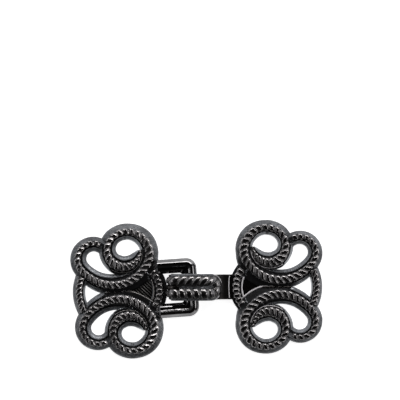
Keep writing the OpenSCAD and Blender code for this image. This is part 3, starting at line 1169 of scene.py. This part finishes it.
@dataclass
class HookHalf(Half):
    """The casting with the hooked tongue."""

    bead_r: float = 0.22
    edge_r: float = 0.2
    # The flat rim on the side that faces the key light keeps more of its grain
    lit_polish: float = 0.6
    strip_w: float = 6.8
    strip_t: float = 1.1
    strip_lift: float = 0.35
    strip_ease: float = 0.18
    strip_notch: float = 0.3
    band_w: float = 7.3
    band_t: float = 0.3
    tongue_end: float = 31.15
    band_start: float = 15.8
    cord_r: float = 1.5
    cord_h: float = 0.75
    cord_gap: float = 0.4
    cord_past: float = 3.4
    cord_start: float = 7.7
    # Slant of the ridges along the band's cord, up one side, round the start and down the other
    cord_slants: Rows = ((0, -28), (0.42, -28), (0.5, -8), (0.58, 8), (1, 8))
    band_past: float = 1.2
    bar_gap: float = 0.3
    bar_top: float = 3.0
    rise_turn: float = 35.0
    rise_arc: float = 2.2
    strip_u: float = 11.5
    flat_run: float = 3.0
    return_run: float = 4.5
    neck: float = 3.0
    neck_u: float = 13.98
    neck_z: float = 1.62
    neck_r: float = 0.12
    # The neck's start past the near cord's middle, its underside, its edge's bevel and its bow
    neck_past: float = 0.6
    neck_low: float = 0.5
    neck_ease: float = 0.1
    neck_bow: float = 0.02
    # The two lobes at the tongue's end, the notch between them, and the room that they are cut to
    lobe_r: float = 1.7
    notch: float = 0.7
    lobe_clear: float = 0.01
    lobe_z: Point = (-1.0, 7.0)
    # The web between the cords, round the hook's bend
    web_half: float = 0.75
    web_back: float = 0.6
    web_sunk: float = 0.12
    # The band's edge, as (inset, height over the strip), and the insets of its flat top
    band_edge: Rows = ((0.0, -0.2), (0.0, 0.02), (0.08, 0.12))
    band_top: Point = (0.38, 0.6)
    # The raised lines along the band's round end: spans of its half circle in degrees, radius, inset, and rise as
    # a share of the band
    band_lines: tuple[Point, ...] = ((25.0, 48.0), (108.0, 172.0))
    band_line_r: float = 0.11
    band_line_inset: float = 0.2
    band_line_rise: float = 0.6
    band_pitch: float = 1.95
    # The radius of the band's cord where it thins out at its ends, and the share where it is full
    band_ease: Rows = ((0, 0.3), (0.02, 0.8), (0.05, 1.25))
    band_full: float = 0.08
    band_step: float = 0.2
    band_twist: Twist = Twist(groove=0.45, strand=0.02, height=0.47, root=0.25, fullness=1.6)

    @property
    def side_route(self) -> Route:
        """The strip's middle line seen from the side, as (u, z).

        Returns:
            The line, from the body to the return's end.
        """
        low = self.strip_lift + self.strip_t / 2
        high = self.bar_top + self.bar_gap + self.strip_t / 2
        turn = math.radians(self.rise_turn)
        rise_r = self.rise_arc / turn
        rise_run = (high - low - 2 * rise_r * (1 - math.cos(turn))) / math.sin(turn)
        hook_r = (high - self.strip_t / 2) / 2
        top_u = self.strip_u + self.flat_run + 2 * rise_r * math.sin(turn) + rise_run * math.cos(turn)
        hook_u = self.tongue_end - self.cord_h - self.band_t - self.strip_t / 2 - hook_r
        runs = ((self.flat_run, 0), (self.rise_arc, self.rise_turn), (rise_run, 0), (self.rise_arc, -self.rise_turn),
                (hook_u - top_u, 0), (math.pi * hook_r, -180), (self.return_run, 0))
        return Route((self.strip_u, low), 0, runs)

    def add_strip(self) -> None:
        """The strip with its hook and return."""
        route, half, t = self.side_route, self.strip_w / 2, self.strip_t / 2
        ease = self.strip_ease
        section = ((-half, -t + ease), (-half + ease, -t), (half - ease, -t), (half, -t + ease),
                   (half, t - ease), (half - ease, t), (-half + ease, t), (-half, t - ease))
        rings = []
        for s in stations((0.0, route.length), self.ring_step):
            sides = [(route.beside(s, n), v) for v, n in section]
            rings.append([(u, v, z) for (u, z), v in sides])
        self.keep("strip", self.trimmed(loft(rings), self.strip_w, self.strip_notch), STRIP, Edges.CUT)

    def trimmed(self, mesh: Mesh, width: float, notch: float) -> Mesh:
        """A layer of the tongue, cut to the two round lobes at its end.

        Args:
            mesh: The layer.
            width: Width of the two lobes.
            notch: Depth of the notch between them.

        Returns:
            The cut layer.
        """
        half, r = width / 2, self.lobe_r
        past = math.degrees(math.acos(1 - notch / r))
        end, clear = self.tongue_end - r, -half - self.lobe_clear
        side = [(self.strip_u - 1, clear), (end, clear), *arc((end, r - half), r, (-90, past), 25)]
        return fused([mesh, prism(side + mirrored(side), *self.lobe_z)], Join.COMMON)

    def over_strip(self, d: float, v: float, h: float) -> Triple:
        """Where a point of the unrolled strip lies, at a height over the strip's top."""
        u, z = self.side_route.beside(d, self.strip_t / 2 + h)
        return u, v, z

    def round_end(self, inset: float, angles: Iterable[float]) -> list[Point]:
        """Points of the unrolled band's round end at an inset, by angle from one side to the other."""
        half, r = self.band_w / 2, self.band_w / 2 - inset
        return [(self.band_start - self.strip_u + half - r * math.sin(a), r * math.cos(a)) for a in angles]

    def add_band(self) -> None:
        """The band on the strip, with its round end toward the body and raised lines along that, whose pale finish
        paints highlights.
        """
        start, stop = self.band_start - self.strip_u, self.side_route.reach(5) + self.band_past
        half = self.band_w / 2
        rings = []
        for inset, h in (*self.band_edge, *((inset, self.band_t) for inset in self.band_top)):
            side = [(start + half + (stop - start - half) * k / 60, inset - half) for k in range(1, 61)]
            ring = self.round_end(inset, np.linspace(0, math.pi, 33)) + side + mirrored(side)
            rings.append([(d, v, h) for d, v in ring])
        mesh = loft(rings)
        sliced(mesh, stations((start, stop), self.ring_step)[1:-1])
        bent(mesh, self.over_strip)
        self.keep("band", self.trimmed(mesh, self.band_w, self.notch), RIM, Edges.CRISP)
        # Short pale lines that paint highlights along parts of the round end
        for label, span in zip(("lower", "upper"), self.band_lines):
            ends = self.round_end(self.band_line_inset, np.radians(np.linspace(*span, 17)))
            line = [self.over_strip(d, v, self.band_t * self.band_line_rise) for d, v in ends]
            self.bead(f"bead_band_{label}", line, self.edge, self.band_line_r)

    def add_web(self) -> None:
        """The web between the cords, round the hook's bend."""
        half, low, top = self.web_half, self.band_t, self.band_t + self.cord_h - self.web_sunk
        section = ((-half, 0.0), (half, 0.0), (half, low), (half / 3, top), (-half / 3, top), (-half, low))
        bend = self.side_route.reach(5)
        rings = [[self.over_strip(d, v, h) for v, h in section]
                 for d in stations((bend - self.web_back, bend + self.cord_past), self.ring_step)]
        self.keep("web", loft(rings), FLAT, Edges.CUT)

    def add_band_cord(self) -> None:
        """The cord that runs up one side of the band, round its start and back."""
        r = self.cord_r + self.cord_gap / 2
        end = self.side_route.reach(5) + self.cord_past
        route = Route((end, -r), 180, ((end - self.cord_start, 0), (math.pi * r, -180), (end - self.cord_start, 0)))
        ease = (*self.band_ease, (self.band_full, self.cord_r))
        radii = (*ease, *((1 - share, r) for share, r in ease[::-1]))
        shares = stations((0.0, 1.0), self.band_step, route.length)
        points = [(*route.beside(share * route.length, 0.0), self.band_t) for share in shares]
        mesh = self.band_twist.mesh(points, along(radii, shares), [self.band_pitch] * len(shares),
                                    along(self.cord_slants, shares), CORD)
        bent(mesh, self.over_strip)
        self.keep("band_cord", mesh, CORD, Edges.SOFT)

    def add_neck(self) -> None:
        """The rim that lies over the strip's start, with a raised line along its edge whose pale finish paints the
        edge's highlight.
        """
        low, top, ease = self.neck_low, self.neck_z, self.neck_ease
        rings = []
        for v in np.linspace(-self.neck, self.neck, 21):
            back = self.near.beside(self.near.length / 2 + v, -self.neck_past)
            edge = self.neck_u - self.neck_bow * v * v
            rings.append([(*back, low), (edge, v, low), (edge, v, top - ease), (edge - ease, v, top), (*back, top)])
        self.keep("neck", loft(rings), FLAT, Edges.CUT)
        # A pale line that paints the highlight on the neck's edge
        self.bead("bead_neck", [(ring[2][0] - self.bead_r, ring[2][1], top) for ring in rings], self.edge, self.neck_r)

    def build(self) -> None:
        """Builds every piece of the half."""
        super().build()
        self.add_neck()
        self.add_strip()
        self.add_band()
        self.add_web()
        self.add_band_cord()


# Where the halves lie


@dataclass(frozen=True)
class Fastening:
    """How the two halves lie hooked together: the eye half's turn and the play of its bar in the hook."""

    eye_turn: float = 4.0
    slack: float = 2.9

    def placings(self) -> tuple[Placing, Placing]:
        """Placings of the eye half and the hook half, the hook half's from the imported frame's box.

        Returns:
            The eye half's and the hook half's placing.
        """
        low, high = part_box("hook_half")
        hook_x = low.x / MM + HookHalf.tongue_end
        hook = Placing(180.0, (hook_x, (low.y + high.y) / 2 / MM))
        inside = HookHalf.tongue_end - HookHalf.cord_h - HookHalf.band_t - HookHalf.strip_t
        bar = inside - self.slack - EyeHalf.bar_w / 2
        middle = EyeHalf.loop_end - EyeHalf.bar_w / 2
        turn = math.radians(self.eye_turn)
        spot = (hook.shift[0] - bar - middle * math.cos(turn), hook.shift[1] - middle * math.sin(turn))
        return Placing(self.eye_turn, spot), hook


# Floor, light and camera


@dataclass(frozen=True)
class Studio:
    """A pale floor, soft light from all round with a dark zenith, and the camera overhead.

    Attributes:
        view_w: Width of the view, in millimetres.
        aim: Point under the camera, in millimetres.
        lens: The camera's lens.
        sensor: The camera's sensor width.
        floor_half: Half of the floor's width, in metres.
        floor_drop: How far the floor lies under the clasp, in millimetres.
        sky: The sky's colours, by height up to the zenith at 1.
        sky_fade: Y of the sky's dim and its bright side, and its strength at each.
        lamps: Each lamp's name, place, size and power.
    """

    view_w: float = 109.1
    aim: Point = (1.1, 24.3)
    lens: float = 200.0
    sensor: float = 36.0
    floor_half: float = 3.0
    floor_drop: float = 0.02
    sky: tuple[tuple[float, Triple], ...] = (
        (0.0, (0.62, 0.63, 0.65)), (0.45, (0.42, 0.42, 0.44)), (0.66, (0.2, 0.2, 0.205)),
        (0.82, (0.03, 0.029, 0.029)), (1.0, (0.012, 0.011, 0.011)))
    sky_fade: tuple[float, float, float, float] = (-0.7, 0.5, 0.12, 1.2)
    lamps: tuple[tuple[str, Triple, Point, float], ...] = (
        ("key", (170.0, 50.0, 0.6), (0.7, 0.1), 1.9), ("left", (90.0, 52.0, 0.6), (0.3, 0.1), 0.3),
        ("right", (-90.0, 52.0, 0.6), (0.3, 0.1), 0.16))

    def add_camera(self) -> None:
        """The camera, straight over the floor."""
        data = bpy.data.cameras.new("camera")
        data.lens, data.sensor_width = self.lens, self.sensor
        camera = loose(data, "camera")
        camera.location = (self.aim[0] * MM, self.aim[1] * MM, self.view_w * MM * self.lens / self.sensor)
        bpy.context.scene.camera = camera

    def add_floor(self) -> None:
        """The pale floor, just under the clasp and clear from below."""
        mesh = bpy.data.meshes.new("floor")
        far, low = self.floor_half, -self.floor_drop * MM
        mesh.from_pydata([(-far, -far, low), (far, -far, low), (far, far, low), (-far, far, low)], [], [(0, 1, 2, 3)])
        floor = loose(mesh, "floor")
        material, net, surface = blank("floor_paper")
        net.put(surface, {"Base Color": (0.93, 0.93, 0.93, 1.0), "Roughness": 0.9, "Specular IOR Level": 0.1,
                          "Emission Color": (1.0, 1.0, 1.0, 1.0), "Emission Strength": 0.88})
        back = net.add("ShaderNodeNewGeometry").outputs["Backfacing"]
        clear = net.out("ShaderNodeBsdfTransparent")
        mixed = net.out("ShaderNodeMixShader", {0: back, 1: surface.outputs[0], 2: clear})
        net.put(material.node_tree.nodes["Material Output"], {"Surface": mixed})
        mesh.materials.append(material)

    def add_sky(self) -> None:
        """Soft light from all round, darker toward the zenith."""
        world = bpy.data.worlds.new("sky")
        bpy.context.scene.world = world
        world.use_nodes = True
        net = Net(world.node_tree)
        place = net.add("ShaderNodeTexCoord").outputs["Generated"]
        split = net.add("ShaderNodeSeparateXYZ", {0: place}).outputs
        ramp = net.add("ShaderNodeValToRGB", {"Fac": split["Z"]})
        elements = ramp.color_ramp.elements
        while len(elements) < len(self.sky):
            elements.new(0.5)
        for element, (at, colour) in zip(elements, self.sky):
            element.position, element.color = at, (*colour, 1.0)
        strength = net.ramp(split["Y"], *self.sky_fade)
        net.put(world.node_tree.nodes["Background"], {"Color": ramp.outputs[0], "Strength": strength})

    def add_lamp(self, name: str, place: Triple, size: Point, power: float) -> None:
        """A softbox that faces the clasp.

        Args:
            name: Its name.
            place: Azimuth and tilt from the zenith in degrees, and distance in metres.
            size: Its width and height, in metres.
            power: Its power, in watts.
        """
        azimuth, tilt, far = math.radians(place[0]), math.radians(place[1]), place[2]
        data = bpy.data.lights.new(name, "AREA")
        data.shape, data.size, data.size_y, data.energy = "RECTANGLE", *size, power
        data.color = (1.0, 0.98, 0.97)
        away = Matrix.Rotation(azimuth, 4, "Z") @ Matrix.Rotation(tilt, 4, "X")
        loose(data, name).matrix_world = away @ Matrix.Translation((0, 0, far))

    def build(self) -> None:
        """Builds the whole studio."""
        self.add_camera()
        self.add_floor()
        self.add_sky()
        for lamp in self.lamps:
            self.add_lamp(*lamp)
        scene = bpy.context.scene
        scene.view_settings.view_transform = "Standard"
        scene.view_settings.look = "None"


def main() -> None:
    """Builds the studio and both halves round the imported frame."""
    logging.basicConfig(level=logging.INFO, format="%(name)s: %(message)s")
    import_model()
    Studio().build()
    eye_place, hook_place = Fastening().placings()
    eye_twist = Twist(groove=0.38, strand=0.1, height=0.85, fullness=3.0)
    hook_twist = Twist(groove=0.4, strand=0.015, height=0.85, fullness=3.0)
    # Each half's pale finish paints the highlights on its raised lines, and its last number is the side of the floor
    # that faces the key light
    halves = (EyeHalf("eye_half", eye_place, 0.2, eye_twist, PAINTED_DIM_HIGHLIGHT, -1),
              HookHalf("hook_half", hook_place, 0.0, hook_twist, PAINTED_HIGHLIGHT, 1))
    for half in halves:
        half.build()
        LOG.info("%s: %d pieces", half.name, len(half.pieces))


if __name__ == "__main__":
    main()
